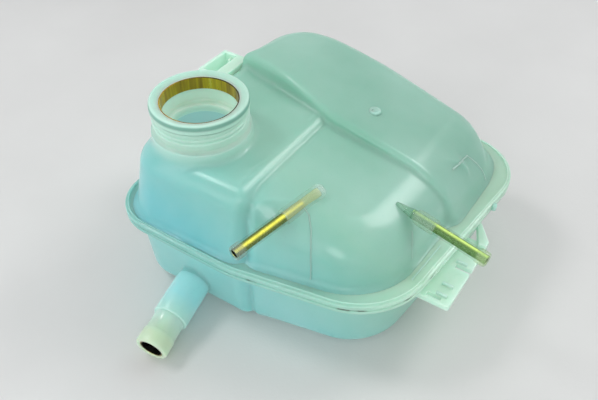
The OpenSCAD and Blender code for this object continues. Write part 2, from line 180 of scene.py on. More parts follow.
def upper_body(x, y, z):
    """Two blocks in front, the dome behind them and the well of the neck cut into them.
    The front blocks end inside the dome."""
    inside_dome = 95
    neck = block(x, y, z, (26, 12, 5, 5), walls_of(
        [(-LEFT, -FRONT), (CREASE + 0.5, -FRONT + 3), (CREASE + 0.5, inside_dome), (-LEFT, inside_dome)],
        (9, 1.3, 0, 9), (14, 14, 2, 14)), NECK_TOP)
    spigots = block(x, y, z * SPIGOT_TOP / spigot_top(np.minimum(x, 150)), (10, 44, 5, 5), walls_of(
        [(CREASE - 2, -40), (RIGHT_FRONT, -22), (RIGHT_FRONT + 5, inside_dome), (CREASE - 2, inside_dome)],
        (9, 9, 0, -1.8), (28, 28, 4, 4)), SPIGOT_TOP)
    riser_left, riser_bend, riser_right = (-LEFT, 79), (56.25, 53.75), (RIGHT_FRONT + 10, 58.5)
    dome_walls = walls_of([riser_left, riser_right, (RIGHT_BACK, BACK), (-LEFT + 8, BACK)],
                          (2.3, 9, 9, 9), (5, 14, 14, 14))
    dome_walls[0] = BentEdge(riser_left, riser_bend, riser_right, 2.3, 5)
    dome = block(x, y, z * DOME_TOP / dome_top(x, y), (6, 7, 34, 34), dome_walls, DOME_TOP)
    body = smooth_min(smooth_min(neck, spigots, 2), dome, 4)
    skirt = round_max(np.hypot(x, y) - 31.0 + 0.02 * (z - 50), z - 57.9, 1.0)
    body = smooth_min(body, skirt, 4)
    body = np.maximum(smooth_min(body, z - 3.0, 5), body - 3.2)
    well = np.maximum(np.hypot(x, y) - 25.9, z - 52.3)
    throat = np.hypot(x, y) - 20.2
    body = np.maximum(body, -np.minimum(well, throat))
    return np.maximum(body, 0.6 - z)


def lower_body(x, y, z):
    """Two lobes side by side, hollowed below the neck, with the foot of the outlet on the left one."""
    deep = -z
    left = block(x, y, deep, (26, 12, 5, 34), walls_of(
        [(-LEFT, -FRONT), (CREASE + 0.5, -FRONT + 3), (CREASE + 0.5, BACK), (-LEFT + 8, BACK)],
        (5, 0.5, 5, 5), (12, 6, 12, 12)), DEPTH)
    right = block(x, y, deep, (10, 44, 34, 5), walls_of(
        [(CREASE - 2, -40), (RIGHT_FRONT, -22), (RIGHT_BACK, BACK), (CREASE - 2, BACK)],
        (5, 5, 5, 0.5), (12, 12, 12, 6)), DEPTH)
    body = smooth_min(left, right, 2.5)
    body = np.maximum(smooth_min(body, deep - 3.0, 4), body - 2.6)
    well = np.maximum(np.hypot(x, y) - 26, WALL - DEPTH - z)
    body = np.maximum(body, -well)
    at, turn_deg = OUTLET[:2]
    d = direction(turn_deg, OUTLET_FALL)
    pipe = capsule(x, y, z, np.array(at) - 6 * d, np.array(at) + 12 * d, 11.3)
    fillet = smooth_min(body, pipe, 1.8)
    reach = (x - at[0]) * d[0] + (y - at[1]) * d[1] + (z - at[2]) * d[2]
    body = np.where(reach > 9.5, body, fillet)
    return np.maximum(body, z + 0.6)


def slope_of(solid, points, h):
    """The slope of a signed distance at each point, from places h away on both sides."""
    return np.stack([(solid(*(points + h * e).T) - solid(*(points - h * e).T)) / (2 * h)
                     for e in np.eye(3)], 1)


def surface_net(solid, low, high, step):
    """Vertices and quads on the surface of a solid given by its signed distance."""
    axes = [np.arange(low[i], high[i] + step, step) for i in range(3)]
    x, y, z = np.meshgrid(*axes, indexing="ij")
    f = solid(x, y, z)
    inside = f < 0
    size = [n - 1 for n in f.shape]
    total = np.zeros(size + [3])
    count = np.zeros(size)
    crossings = []

    # Where the skin crosses the edges of the grid's cells
    for a in range(3):
        b, c = (a + 1) % 3, (a + 2) % 3
        near = [slice(None)] * 3
        far = [slice(None)] * 3
        near[a], far[a] = slice(0, -1), slice(1, None)
        near, far = tuple(near), tuple(far)
        cross = inside[near] != inside[far]
        gap = np.where(cross, f[near] - f[far], 1)
        t = np.where(cross, f[near] / gap, 0)
        crossings.append((cross, inside[near]))
        for db in (0, 1):
            for dc in (0, 1):
                cell = [slice(None)] * 3
                cell[b], cell[c] = slice(db, db + size[b]), slice(dc, dc + size[c])
                cell = tuple(cell)
                count += cross[cell]
                total[..., a] += t[cell]
                total[..., b] += cross[cell] * db
                total[..., c] += cross[cell] * dc

    # One vertex in each cell that it crosses
    active = count > 0
    ids = np.full(size, -1)
    ids[active] = np.arange(active.sum())
    points = np.argwhere(active) + total[active] / count[active][:, None]
    points = np.array(low) + points * step

    # One quad round each crossed edge
    faces = []
    for a in range(3):
        b, c = (a + 1) % 3, (a + 2) % 3
        cross, start_inside = crossings[a]
        where = np.argwhere(cross)
        within = (where[:, b] > 0) & (where[:, c] > 0) & (where[:, b] < size[b]) & (where[:, c] < size[c])
        where = where[within]
        quad = []
        for db, dc in ((-1, -1), (0, -1), (0, 0), (-1, 0)):
            cell = where.copy()
            cell[:, b] += db
            cell[:, c] += dc
            quad.append(ids[cell[:, 0], cell[:, 1], cell[:, 2]])
        quad = np.stack(quad, 1)
        flip = ~start_inside[where[:, 0], where[:, 1], where[:, 2]]
        quad[flip] = quad[flip][:, ::-1]
        faces.append(quad)

    # Two steps of every vertex onto the skin
    for _ in range(2):
        away = solid(*points.T)
        grad = slope_of(solid, points, 0.15)
        move = -away[:, None] * grad / np.maximum((grad ** 2).sum(1), 0.25)[:, None]
        far = np.linalg.norm(move, axis=1)
        points = points + move * np.minimum(1, 0.4 * step / np.maximum(far, 1e-9))[:, None]
    return points, np.concatenate(faces)


# Meshes


def new_object(name, points, faces):
    """A smooth-shaded piece from points in the tank's own measure."""
    points = (np.asarray(points, float) - [0, 0, MOUTH]) / 1000
    mesh = bpy.data.meshes.new(name)
    mesh.from_pydata(points.tolist(), [], [list(map(int, f)) for f in faces])
    mesh.update()
    mesh.shade_smooth()
    piece = bpy.data.objects.new(name, mesh)
    bpy.context.scene.collection.objects.link(piece)
    return piece


def rework(piece, work=None):
    """Runs work on a piece's mesh and turns all its faces outwards."""
    bm = bmesh.new()
    bm.from_mesh(piece.data)
    if work:
        work(bm)
    bmesh.ops.recalc_face_normals(bm, faces=bm.faces)
    for face in bm.faces:
        face.smooth = True
    bm.to_mesh(piece.data)
    bm.free()


def close_holes(bm):
    """Fills the open seam side with flat triangles."""
    edges = [e for e in bm.edges if e.is_boundary]
    bmesh.ops.triangle_fill(bm, edges=edges, use_beauty=False)


def merge_points(bm):
    """Joins the points of each ring that has shrunk onto its axis."""
    bmesh.ops.remove_doubles(bm, verts=bm.verts, dist=1e-6)


def body_piece(name, solid, low, high, step, seam_z):
    """The skin of a solid between two corners, with flat triangles on its seam side."""
    points, faces = surface_net(solid, low, high, step)
    on_seam = np.abs(points[:, 2] - seam_z) < 0.12
    faces = faces[~on_seam[faces].all(1)]
    used = np.unique(faces)
    new_id = np.zeros(len(points), int)
    new_id[used] = np.arange(len(used))
    piece = new_object(name, points[used], new_id[faces])
    rework(piece, close_holes)
    return piece


def revolve(name, profile, at=(0, 0, 0), axis=(0, 0, 1), segments=96, closed=True,
            bend=None):
    """Turns a profile of (radius, length) about an axis. bend may move its points at each angle."""
    axis = np.array(axis, float) / np.linalg.norm(axis)
    side = np.cross(axis, [0, 0, 1.0])
    side = np.array([1.0, 0, 0]) if np.linalg.norm(side) < 1e-6 else side / np.linalg.norm(side)
    other = np.cross(axis, side)
    profile = np.array(profile, float)
    angles = np.linspace(0, 2 * math.pi, segments, endpoint=False)
    r = np.repeat(profile[:, :1], segments, 1)
    l = np.repeat(profile[:, 1:], segments, 1)
    if bend:
        r, l = bend(r, l, angles[None, :])
    points = (np.array(at) + l[..., None] * axis + (r * np.cos(angles))[..., None] * side
              + (r * np.sin(angles))[..., None] * other)
    n = len(profile)
    rows = range(n if closed else n - 1)
    faces = [(i * segments + k, i * segments + (k + 1) % segments,
              (i + 1) % n * segments + (k + 1) % segments, (i + 1) % n * segments + k)
             for i in rows for k in range(segments)]
    piece = new_object(name, points.reshape(-1, 3), faces)
    rework(piece, merge_points)
    return piece


def sharpen(piece, angle):
    """Marks the edges that turn by more than an angle in degrees as sharp."""
    piece.data.set_sharp_from_angle(angle=math.radians(angle))


FLANGE_PLAN = [(-LEFT - 9.5, -FRONT - 4.5, 32), (CREASE - 5, -FRONT - 4.1, 80),
               (RIGHT_FRONT + 9.6, -30, 48), (RIGHT_BACK + 9.6, BACK + 8, 40), (-LEFT - 4.75, BACK + 8, 38)]


def outline(plan, inset, arc=24, straight=16):
    """Points round a plan of (x, y, corner radius), all of it pulled in by inset."""
    n = len(plan)
    points = []
    for i in range(n):
        before, here, after = [np.array(plan[j % n][:2], float) for j in (i - 1, i, i + 1)]
        a = (here - before) / np.linalg.norm(here - before)
        b = (after - here) / np.linalg.norm(after - here)
        na, nb = np.array([-a[1], a[0]]), np.array([-b[1], b[0]])
        c = float(na @ nb)
        corner = here + (na + nb) * inset / (1 + c)
        r = max(plan[i][2] - inset, 1.5)
        centre = corner + (na + nb) * r / (1 + c)
        first = math.atan2(-na[1], -na[0])
        sweep = math.atan2(a[0] * b[1] - a[1] * b[0], float(a @ b))
        for k in range(arc + 1):
            t = first + sweep * k / arc
            points.append(centre + r * np.array([math.cos(t), math.sin(t)]))
    out = []
    for i in range(n):
        arc_points = points[i * (arc + 1):(i + 1) * (arc + 1)]
        out += arc_points
        p, q = arc_points[-1], points[(i + 1) * (arc + 1) % len(points)]
        out += [p + (q - p) * k / straight for k in range(1, straight)]
    return np.array(out)


def flange(name, section):
    """Carries a section of (inset, height) points round the flange's plan."""
    rings = []
    for inset, z in section:
        ring = outline(FLANGE_PLAN, inset)
        rings.append(np.column_stack([ring, np.full(len(ring), z)]))
    m, n = len(rings[0]), len(rings)
    faces = [(i * m + k, i * m + (k + 1) % m, (i + 1) % n * m + (k + 1) % m, (i + 1) % n * m + k)
             for i in range(n) for k in range(m)]
    piece = new_object(name, np.concatenate(rings), faces)
    rework(piece)
    sharpen(piece, 50)
    return piece


def plate(name, outer, holes, z0, z1, bevel):
    """A flat plate from its outline and holes, with eased edges."""
    bm = bmesh.new()
    for loop in [outer] + holes:
        verts = [bm.verts.new((p[0] / 1000, p[1] / 1000, (z0 - MOUTH) / 1000)) for p in loop]
        for i in range(len(verts)):
            bm.edges.new((verts[i], verts[(i + 1) % len(verts)]))
    bmesh.ops.triangle_fill(bm, edges=bm.edges[:], use_beauty=True)
    bmesh.ops.dissolve_limit(bm, angle_limit=0.01, verts=bm.verts[:], edges=bm.edges[:])
    region = bmesh.ops.extrude_face_region(bm, geom=bm.faces[:])
    moved = [v for v in region["geom"] if isinstance(v, bmesh.types.BMVert)]
    bmesh.ops.translate(bm, verts=moved, vec=(0, 0, (z1 - z0) / 1000))
    bmesh.ops.recalc_face_normals(bm, faces=bm.faces)
    edges = [e for e in bm.edges if len(e.link_faces) == 2 and e.calc_face_angle(0) > 0.5]
    bmesh.ops.bevel(bm, geom=edges, offset=bevel / 1000, segments=3, affect="EDGES", profile=0.6,
                    clamp_overlap=True)
    mesh = bpy.data.meshes.new(name)
    bm.to_mesh(mesh)
    bm.free()
    mesh.shade_smooth()
    piece = bpy.data.objects.new(name, mesh)
    bpy.context.scene.collection.objects.link(piece)
    sharpen(piece, 40)
    return piece


def rectangle(x0, y0, x1, y1):
    return [(x0, y0), (x1, y0), (x1, y1), (x0, y1)]


# The bodies of the two shells
upper = body_piece("upper_body", upper_body, (-48, -55, -1), (168, 152, 64), 1.0, 0.6)
lower = body_piece("lower_body", lower_body, (-48, -66, -58), (168, 152, 1), 1.0, -0.6)

# Flange halves
upper_flange = flange("upper_flange", [
    (20, 0), (1.6, 0), (1.6, 0.4), (0.4, 0.4), (0.1, 0.5), (0, 0.8), (0, 2.6), (0.15, 3.0), (0.5, 3.2),
    (1.35, 3.2), (1.55, 3.35), (1.62, 3.9), (1.8, 4.2), (2.1, 4.3), (2.4, 4.3), (2.65, 4.15),
    (2.78, 3.8), (2.85, 3.35), (3.1, 3.2), (20, 3.2)])
lower_flange = flange("lower_flange", [
    (20, -3.2), (0.7, -3.2), (0.2, -3.0), (0, -2.6), (0, -0.8), (0.1, -0.5), (0.4, -0.4), (1.6, -0.4),
    (1.6, 0), (20, 0)])

# Filler neck with its thread
THREAD_LOW, THREAD_PITCH, THREAD_TURNS = 61.0, 3.0, 2.6
THREAD_ROOT, THREAD_DEPTH = 28.7, 0.8


def thread(r, z, angle):
    """Raises the ridge of a right-hand thread on the plain root of the neck's profile."""
    turn = angle / (2 * math.pi)
    t = (z - THREAD_LOW) / THREAD_PITCH - turn
    k = np.clip(np.round(t), np.ceil(-turn), np.floor(THREAD_TURNS - turn))
    off = np.abs(t - k) * THREAD_PITCH
    crest = np.clip((1.15 - off) / 0.7, 0, 1)
    crest = crest * crest * (3 - 2 * crest)
    along = k + turn
    fade = np.clip(np.minimum(along, THREAD_TURNS - along) / 0.12, 0, 1)
    on_root = (np.abs(r - THREAD_ROOT) < 0.05) & (z > 59.5) & (z < 69.6)
    return r + np.where(on_root, THREAD_DEPTH * crest * fade, 0), z


neck_profile = [(26.2, 53.2), (29.4, 54.0), (30.6, 57.2), (30.1, 58.0), (29.3, 58.5), (28.85, 59.2)]
neck_profile += [(THREAD_ROOT, z) for z in np.arange(59.6, 69.6, 0.25)]
neck_profile += [(28.4, 69.9), (28.0, 70.1), (27.9, 70.4), (28.0, 71.0), (28.4, 71.3), (29.4, 71.45),
                 (29.9, 71.7), (30.1, 72.2), (30.1, 75.2), (29.98, 76.0), (29.7, 76.7), (29.3, 77.2),
                 (28.8, 77.46), (28.2, 77.4), (27.2, 77.0), (24.8, 76.05), (24.2, 75.85), (23.9, 75.7),
                 (24.2, 75.62), (24.2, 67.55), (23.8, 67.5), (23.8, 59.9), (23.5, 59.5), (23.1, 59.3),
                 (23.0, 58.5), (22.6, 58.1), (21, 58), (20.3, 57.8), (20, 57.2), (20, 53.0),
                 (20.3, 52.5), (20.8, 52.35), (25.6, 52.35)]
neck = revolve("filler_neck", neck_profile, segments=192, bend=thread)
sharpen(neck, 60)


def spigot(name, at, turn_deg, fall, length, root, radii, bore, tip, start):
    """A hose spigot, bored through: stouter root, hose length, bead and rounded tip.
    The root's rounded end is at start. Where that is above 0, a thin pipe leads up to it."""
    root_r, hose_r, bead_r = radii
    step = bead_r - hose_r
    lead = [(0, start)]
    if start > 0:
        lead = [(0, 0), (1.3, 0.5), (1.7, 3.0), (2.3, 8.0), (3.1, start - 1.4)]
    bottom = max(start - 1.2, 0.4)
    root_part = [(root_r * 0.64, start + 0.3), (root_r * 0.86, start + root_r * 0.25),
                 (root_r * 0.97, start + root_r * 0.55), (root_r, start + root_r * 0.8),
                 (root_r, root - 0.8), (root_r - 0.1, root - 0.3), (root_r - 0.35, root)]
    hose_part = [(hose_r + 0.2, root + 0.05), (hose_r, root + 0.3), (hose_r, length - tip - 0.4)]
    bead = [(hose_r + 0.3 * step, length - tip + 0.2 * step),
            (bead_r - 0.1 * step, length - tip + 1.6 * step),
            (bead_r, length - tip + 2.2 * step), (bead_r, length - step - 1.0),
            (bead_r - 0.3 * step, length - 0.5 * step - 0.4), (bead_r - step, length - 0.15),
            (bead_r - 1.5 * step, length)]
    hole = [(bore + 0.3, length), (bore, length - 0.3), (bore, bottom), (0, bottom - 0.2)]
    profile = lead + root_part + hose_part + bead + hole
    return revolve(name, profile, at, direction(turn_deg, fall), 72, closed=False)


VENT_RADII = 4.9, 4.0, 4.6
OUTLET_RADII = 11.5, 10.0, 10.7
VENT_START = {"left": -1.0, "right": 13.5}
vent_pieces = []
for side, (at, turn_deg, length, root) in VENTS.items():
    vent_pieces.append(spigot("vent_spigot_" + side, at, turn_deg, VENT_FALL, length, root, VENT_RADII,
                              VENT_BORE, 7.0, VENT_START[side]))
at, turn_deg, length, root = OUTLET
outlet = spigot("outlet_pipe", at, turn_deg, OUTLET_FALL, length, root, OUTLET_RADII, OUTLET_BORE,
                11.0, -14.0)


# Lines and marks raised on the skin


def raised_line(name, path, radius):
    """A thin rounded line laid on the upper body along a path."""
    path = np.array(path, float)
    steps = [np.linspace(p, q, max(2, int(np.linalg.norm(q - p))), endpoint=False)
             for p, q in zip(path, path[1:])]
    points = np.concatenate(steps + [path[-1:]])
    for _ in range(4):
        away = upper_body(*points.T)
        slope = slope_of(upper_body, points, 0.2)
        points = points - (away / (slope ** 2).sum(1))[:, None] * slope
    up_way = slope / np.linalg.norm(slope, axis=1)[:, None]
    ahead = np.gradient(points, axis=0)
    side = np.cross(ahead, up_way)
    side /= np.linalg.norm(side, axis=1)[:, None]
    size = np.full(len(points), radius)
    size[0] = size[-1] = radius * 0.3
    sides = 10
    angles = np.linspace(0, 2 * math.pi, sides, endpoint=False)
    round_it = (np.cos(angles)[None, :, None] * side[:, None]
                + np.sin(angles)[None, :, None] * up_way[:, None])
    rings = (points - up_way * radius * 0.45)[:, None] + size[:, None, None] * round_it
    n = len(points)
    faces = [(i * sides + k, i * sides + (k + 1) % sides,
              (i + 1) * sides + (k + 1) % sides, (i + 1) * sides + k)
             for i in range(n - 1) for k in range(sides)]
    faces += [tuple(range(sides - 1, -1, -1)), tuple(range((n - 1) * sides, n * sides))]
    return new_object(name, rings.reshape(-1, 3), faces)


level_line = raised_line("level_line", [
    (133.4, 81.0, 25.9), (134.8, 90.1, 26.0), (134.6, 102.6, 23.2), (140.3, 106.7, 17.0),
    (144.0, 108.5, 12.3), (146.7, 108.9, 8.0), (149.5, 108.0, 4.6)], 0.8)
baffle_lines = [
    raised_line("baffle_line_left", [
        (80, -10.7, 39.9), (86.3, -13, 37.2), (91.3, -18.6, 32.7), (95.6, -25.1, 24.6), (98, -28.5, 12.3),
        (98.5, -30, 5)], 0.4),
    raised_line("baffle_line_right", [(134.6, 23.9, 21), (138.3, 17.9, 15.6), (140.9, 15, 6.8)], 0.45)]
flange_rib = plate("flange_rib", [(146.2, 4), (147.3, 4), (149.4, 38), (148.3, 38)], [], 2.8, 3.9, 0.3)
nub = revolve("flange_nub", [
    (0, -2.4), (1.4, -2.3), (2.0, -1.6), (2.1, 1.6), (1.6, 2.6), (0.8, 2.9), (0, 2.9)],
    (161.9, 92, 0), segments=24, closed=False)
GATE = 75.5, 81.5
gate_z = float(dome_top(*np.array(GATE)))
gate = revolve("gate_mark", [
    (0, -1.5), (4.3, -1.5), (4.15, 0), (3.95, 0.6), (3.6, 0.95), (2.4, 0.95), (2.1, 0.75),
    (2.0, 0.4), (0, 0.4)], (*GATE, gate_z), segments=48, closed=False)
marks = [level_line, flange_rib, nub, gate] + baffle_lines

# Socket at the back left
socket_walls = plate("socket_walls", rectangle(-51, 57, -30, 87), [rectangle(-48.6, 59.4, -38.5, 84.6)],
                     19, 49, 0.5)
socket_floor = plate("socket_floor", rectangle(-50.8, 57.2, -30, 86.8), [], 16.6, 20, 0.5)
socket_rib = plate("socket_rib", rectangle(-44.2, 81, -42.8, 85), [], 18, 46, 0.3)

# Bracket on the right
bracket_plate = plate("bracket_plate", [
    (137, 6.5), (169.3, 6.5), (170.5, 7.7), (170.5, 37.5), (160.5, 37.5), (160.5, 41), (170.5, 41),
    (170.5, 66), (137, 66)], [rectangle(155.1, 8.9, 164.1, 11.4)], -12.5, -8.5, 0.6)
bars = [plate(f"bracket_bar_{i}", rectangle(159.6, y, 166.6, y + 1.8), [], -9, -6.7, 0.4)
        for i, y in enumerate((11.8, 20.5, 41.4))]
gusset = plate("bracket_gusset", [(165.7, 61.2), (170.5, 61.2), (170.5, 66), (159, 81), (143, 81),
                                  (143, 78.6), (157.8, 78.6)], [], -12.5, -5.5, 0.4)

upper_pieces = [upper, upper_flange, neck, socket_walls, socket_floor, socket_rib] + vent_pieces + marks
lower_pieces = [lower, lower_flange, outlet, bracket_plate, gusset] + bars


# Materials


def material(name):
    mat = bpy.data.materials.new(name)
    mat.use_nodes = True
    tree = mat.node_tree
    tree.nodes.clear()
    output = tree.nodes.new("ShaderNodeOutputMaterial")
    shader = tree.nodes.new("ShaderNodeBsdfPrincipled")
    tree.links.new(shader.outputs[0], output.inputs[0])
    return mat, tree, shader


def node(tree, kind, **values):
    made = tree.nodes.new(kind)
    for key, value in values.items():
        if key.startswith("in_"):
            made.inputs[key[3:].replace("_", " ")].default_value = value
        else:
            setattr(made, key, value)
    return made


def feed(tree, socket, value):
    """Gives a socket a number, a colour or another node's output."""
    if isinstance(value, (float, int)):
        socket.default_value = value
    elif isinstance(value, tuple):
        socket.default_value = (*value, 1) if len(socket.default_value) > len(value) else value
    else:
        tree.links.new(value, socket)


def set_inputs(tree, shader, **values):
    for key, value in values.items():
        feed(tree, shader.inputs[key.replace("_", " ")], value)


def plain_math(tree, operation, *values, clamp=False):
    made = node(tree, "ShaderNodeMath", operation=operation, use_clamp=clamp)
    for socket, value in zip(made.inputs, values):
        feed(tree, socket, value)
    return made.outputs[0]


def vector_math(tree, operation, *values):
    made = node(tree, "ShaderNodeVectorMath", operation=operation)
    for socket, value in zip(made.inputs, values):
        feed(tree, socket, value)
    return made.outputs["Value" if operation in ("DOT_PRODUCT", "LENGTH") else "Vector"]


def multiply(tree, first, *others):
    for value in others:
        first = plain_math(tree, "MULTIPLY", first, value)
    return first


def object_place(tree):
    return node(tree, "ShaderNodeTexCoord").outputs["Object"]


def noise(tree, coord, scale, detail=3.0, rough=0.5):
    made = node(tree, "ShaderNodeTexNoise", in_Scale=scale, in_Detail=detail, in_Roughness=rough)
    tree.links.new(coord, made.inputs["Vector"])
    return made.outputs["Fac"]


def ramp(tree, factor, stops):
    made = tree.nodes.new("ShaderNodeValToRGB")
    elements = made.color_ramp.elements
    while len(elements) < len(stops):
        elements.new(0.5)
    for element, (place, colour) in zip(elements, stops):
        element.position = place
        element.color = (*colour, 1)
    tree.links.new(factor, made.inputs[0])
    return made.outputs[0]


def range_map(tree, value, low, high, to_low=0.0, to_high=1.0):
    made = node(tree, "ShaderNodeMapRange")
    for socket, item in zip(made.inputs, (value, low, high, to_low, to_high)):
        feed(tree, socket, item)
    return made.outputs[0]


def mix(tree, factor, a, b):
    made = node(tree, "ShaderNodeMix", data_type="RGBA")
    for index, value in ((0, factor), (6, a), (7, b)):
        feed(tree, made.inputs[index], value)
    return made.outputs[2]


def shade_by_place(tree, place, way, low, high):
    """From 0 to 1 along a direction, between two distances in metres."""
    return range_map(tree, vector_math(tree, "DOT_PRODUCT", place, way), low, high)


def shade_by_height(tree, place, low, high):
    return shade_by_place(tree, place, (0.0, 0.0, 1.0), low, high)


def bump(tree, shader, height, strength, distance):
    made = node(tree, "ShaderNodeBump", in_Strength=strength, in_Distance=distance)
    tree.links.new(height, made.inputs["Height"])
    tree.links.new(made.outputs[0], shader.inputs["Normal"])


def neck_colours(tree, place, off_axis, colour):
    """Painted light in the pale bore, and painted shade in the darker band outside the rim and in the dark
    groove below it.
    """
    # Paler bore: painted light that comes through the neck's walls
    bore = range_map(tree, off_axis, 0.0247, 0.0243)
    colour = mix(tree, multiply(tree, bore, 0.7), colour, (0.62, 0.78, 0.68))
    # Darker band on the outer face of the rim: painted shade
    lip_shade = multiply(tree, range_map(tree, off_axis, 0.0286, 0.0292),
                   shade_by_height(tree, place, -0.0040, -0.0026),
                   shade_by_height(tree, place, -0.0004, -0.0012), 0.7)
    colour = mix(tree, lip_shade, colour, (0.08, 0.24, 0.19))
    # Dark line in the groove under the rim: painted shade
    groove = multiply(tree, shade_by_height(tree, place, -0.0082, -0.0074),
                      shade_by_height(tree, place, -0.0055, -0.0062), 0.4)
    return mix(tree, groove, colour, (0.16, 0.34, 0.28))


def plastic(name, near, far, neck_white=0.0, glow=0.12, coat=0.75, way=(0.45, 0.8, 0.9),
            start=-0.090, end=0.090, is_neck=False):
    """Milky plastic whose colour turns from near to far along a way, from start to halfway to end,
    and then darkens a little. neck_white pales it round the foot of the neck. glow sets a faint painted glow
    that stands for light coming through the walls."""
    mat, tree, shader = material(name)
    place = object_place(tree)
    off_axis = vector_math(tree, "LENGTH", vector_math(tree, "MULTIPLY", place, (1, 1, 0)))
    along = shade_by_place(tree, place, way, start, end)
    colour = ramp(tree, along, [(0.0, near), (0.5, far), (1.0, tuple(0.83 * part for part in far))])
    if neck_white:
        foot = multiply(tree, range_map(tree, off_axis, 0.036, 0.031),
                        shade_by_height(tree, place, -0.030, -0.020), neck_white)
        colour = mix(tree, foot, colour, (0.50, 0.74, 0.62))
    cloud = range_map(tree, noise(tree, place, 16, 3), 0.3, 0.7, 0.0, 0.2)
    colour = mix(tree, cloud, colour, (0.60, 0.80, 0.74))
    speckle = range_map(tree, noise(tree, place, 700, 2), 0.62, 0.78, 0.0, 0.10)
    colour = mix(tree, speckle, colour, (0.10, 0.28, 0.26))

    # Dirt in the gap between the halves of the flange
    height = node(tree, "ShaderNodeSeparateXYZ")
    tree.links.new(place, height.inputs[0])
    off_seam = plain_math(tree, "ABSOLUTE", plain_math(tree, "ADD", height.outputs[2], MOUTH / 1000))
    patches = range_map(tree, noise(tree, place, 60, 3), 0.6, 0.66)
    dirt = multiply(tree, range_map(tree, off_seam, 0.0009, 0.0004), patches, 0.7)
    colour = mix(tree, dirt, colour, (0.05, 0.06, 0.04))

    # The hollow under the neck: paler, as painted light that comes through its walls, and darker further
    # down, as painted shade
    inside = multiply(tree, range_map(tree, off_axis, 0.0263, 0.0261),
                      shade_by_height(tree, place, -0.0245, -0.0255))
    colour = mix(tree, multiply(tree, inside, 0.8), colour, (0.44, 0.60, 0.57))
    # Darker towards the hollow's bottom: painted shade
    below = multiply(tree, inside, shade_by_height(tree, place, -0.0262, -0.0285), 0.45)
    colour = mix(tree, below, colour, (0.20, 0.42, 0.43))
    if is_neck:
        colour = neck_colours(tree, place, off_axis, colour)
        rings = plain_math(tree, "SINE", multiply(tree, off_axis, 7800.0))
        bump(tree, shader, rings, 0.25, 0.0001)
    else:
        bump(tree, shader, noise(tree, place, 900, 2), 0.06, 0.0003)
    roughness = range_map(tree, noise(tree, place, 60, 4), 0.3, 0.7, 0.38, 0.50)
    # The emission is a painted glow for light coming through the walls, stronger in the hollow under the neck
    set_inputs(tree, shader, Base_Color=colour, Emission_Color=colour, Roughness=roughness, IOR=1.49,
               Emission_Strength=range_map(tree, inside, 0, 1, glow, 0.45), Specular_IOR_Level=0.2,
               Coat_Weight=coat, Coat_Roughness=0.2, Subsurface_Weight=1.0,
               Subsurface_Radius=(0.7, 1.0, 0.95), Subsurface_Scale=0.008)
    return mat


# The way that the painted highlight on a brass sleeve faces, unless another is given
FACING_FRONT = (0.3, -0.5, 0.8)


def tube_space(tree, at, turn_deg, fall, facing):
    """Places measured on a tube: how far along it, off its axis, and to the side of a facing line."""
    ahead = direction(turn_deg, fall)
    side = np.cross(ahead, facing)
    side /= np.linalg.norm(side)
    top = np.cross(side, ahead)
    start = tuple((np.array(at) - [0, 0, MOUTH]) / 1000)
    local = vector_math(tree, "SUBTRACT", object_place(tree), start)
    along, sideways, upwards = [vector_math(tree, "DOT_PRODUCT", local, tuple(way))
                                for way in (ahead, side, top)]
    across = node(tree, "ShaderNodeCombineXYZ")
    tree.links.new(sideways, across.inputs[0])
    tree.links.new(upwards, across.inputs[1])
    return along, vector_math(tree, "LENGTH", across.outputs[0]), sideways


def spigot_plastic(name, vent, clear, hose_colour, lead_colour, tip_colour):
    """Clear plastic of a vent spigot, through which the brass sleeve shows.
    A spigot with no thin lead has a pale core in its root instead, and a painted highlight at the root's end."""
    mat, tree, shader = material(name)
    at, turn_deg, length, root = vent
    along, radius, _ = tube_space(tree, at, turn_deg, VENT_FALL, FACING_FRONT)
    haze = range_map(tree, noise(tree, object_place(tree), 120, 3), 0.3, 0.7, 0, 0.3)

    def stretch(start, end):
        """From 0 at start to 1 at end, both in millimetres along the spigot."""
        return range_map(tree, along, start / 1000, end / 1000)

    tip = stretch(length - 7.5, length - 5.0)
    collar = multiply(tree, stretch(root - 0.6, root - 0.3), stretch(root + 0.3, root + 0.1))
    milky = range_map(tree, along, (root - 0.3) / 1000, (root - 1.5) / 1000,
                      0.11, 0.42 if lead_colour else 0.24)
    alpha = plain_math(tree, "ADD", multiply(tree, collar, 0.25), milky, clamp=True)
    alpha = plain_math(tree, "ADD", alpha, multiply(tree, tip, 0.22), clamp=True)
    colour = mix(tree, haze, clear, (0.62, 0.80, 0.62))
    if not lead_colour:
        core = multiply(tree, range_map(tree, radius, 0.0032, 0.0030),
                        stretch(2.2, 3.4), stretch(root, root - 1))
        # Whitish towards the root's rounded end: a painted highlight
        colour = mix(tree, stretch(8, 3), colour, (0.80, 0.95, 0.88))
        colour = mix(tree, core, colour, (0.80, 0.82, 0.30))
        alpha = plain_math(tree, "MAXIMUM", alpha, multiply(tree, core, 0.6))
    colour = mix(tree, stretch(root - 0.2, root + 0.4), colour, hose_colour)
    colour = mix(tree, tip, colour, tip_colour)
    if lead_colour:
        lead = stretch(14.2, 12.8)
        colour = mix(tree, lead, colour, lead_colour)
        alpha = plain_math(tree, "ADD", alpha, multiply(tree, lead, 0.1), clamp=True)
    colour = mix(tree, collar, colour, (0.55, 0.74, 0.52))
    set_inputs(tree, shader, Base_Color=colour, Alpha=alpha, IOR=1.49,
               Roughness=range_map(tree, haze, 0, 0.3, 0.10, 0.20))
    return mat


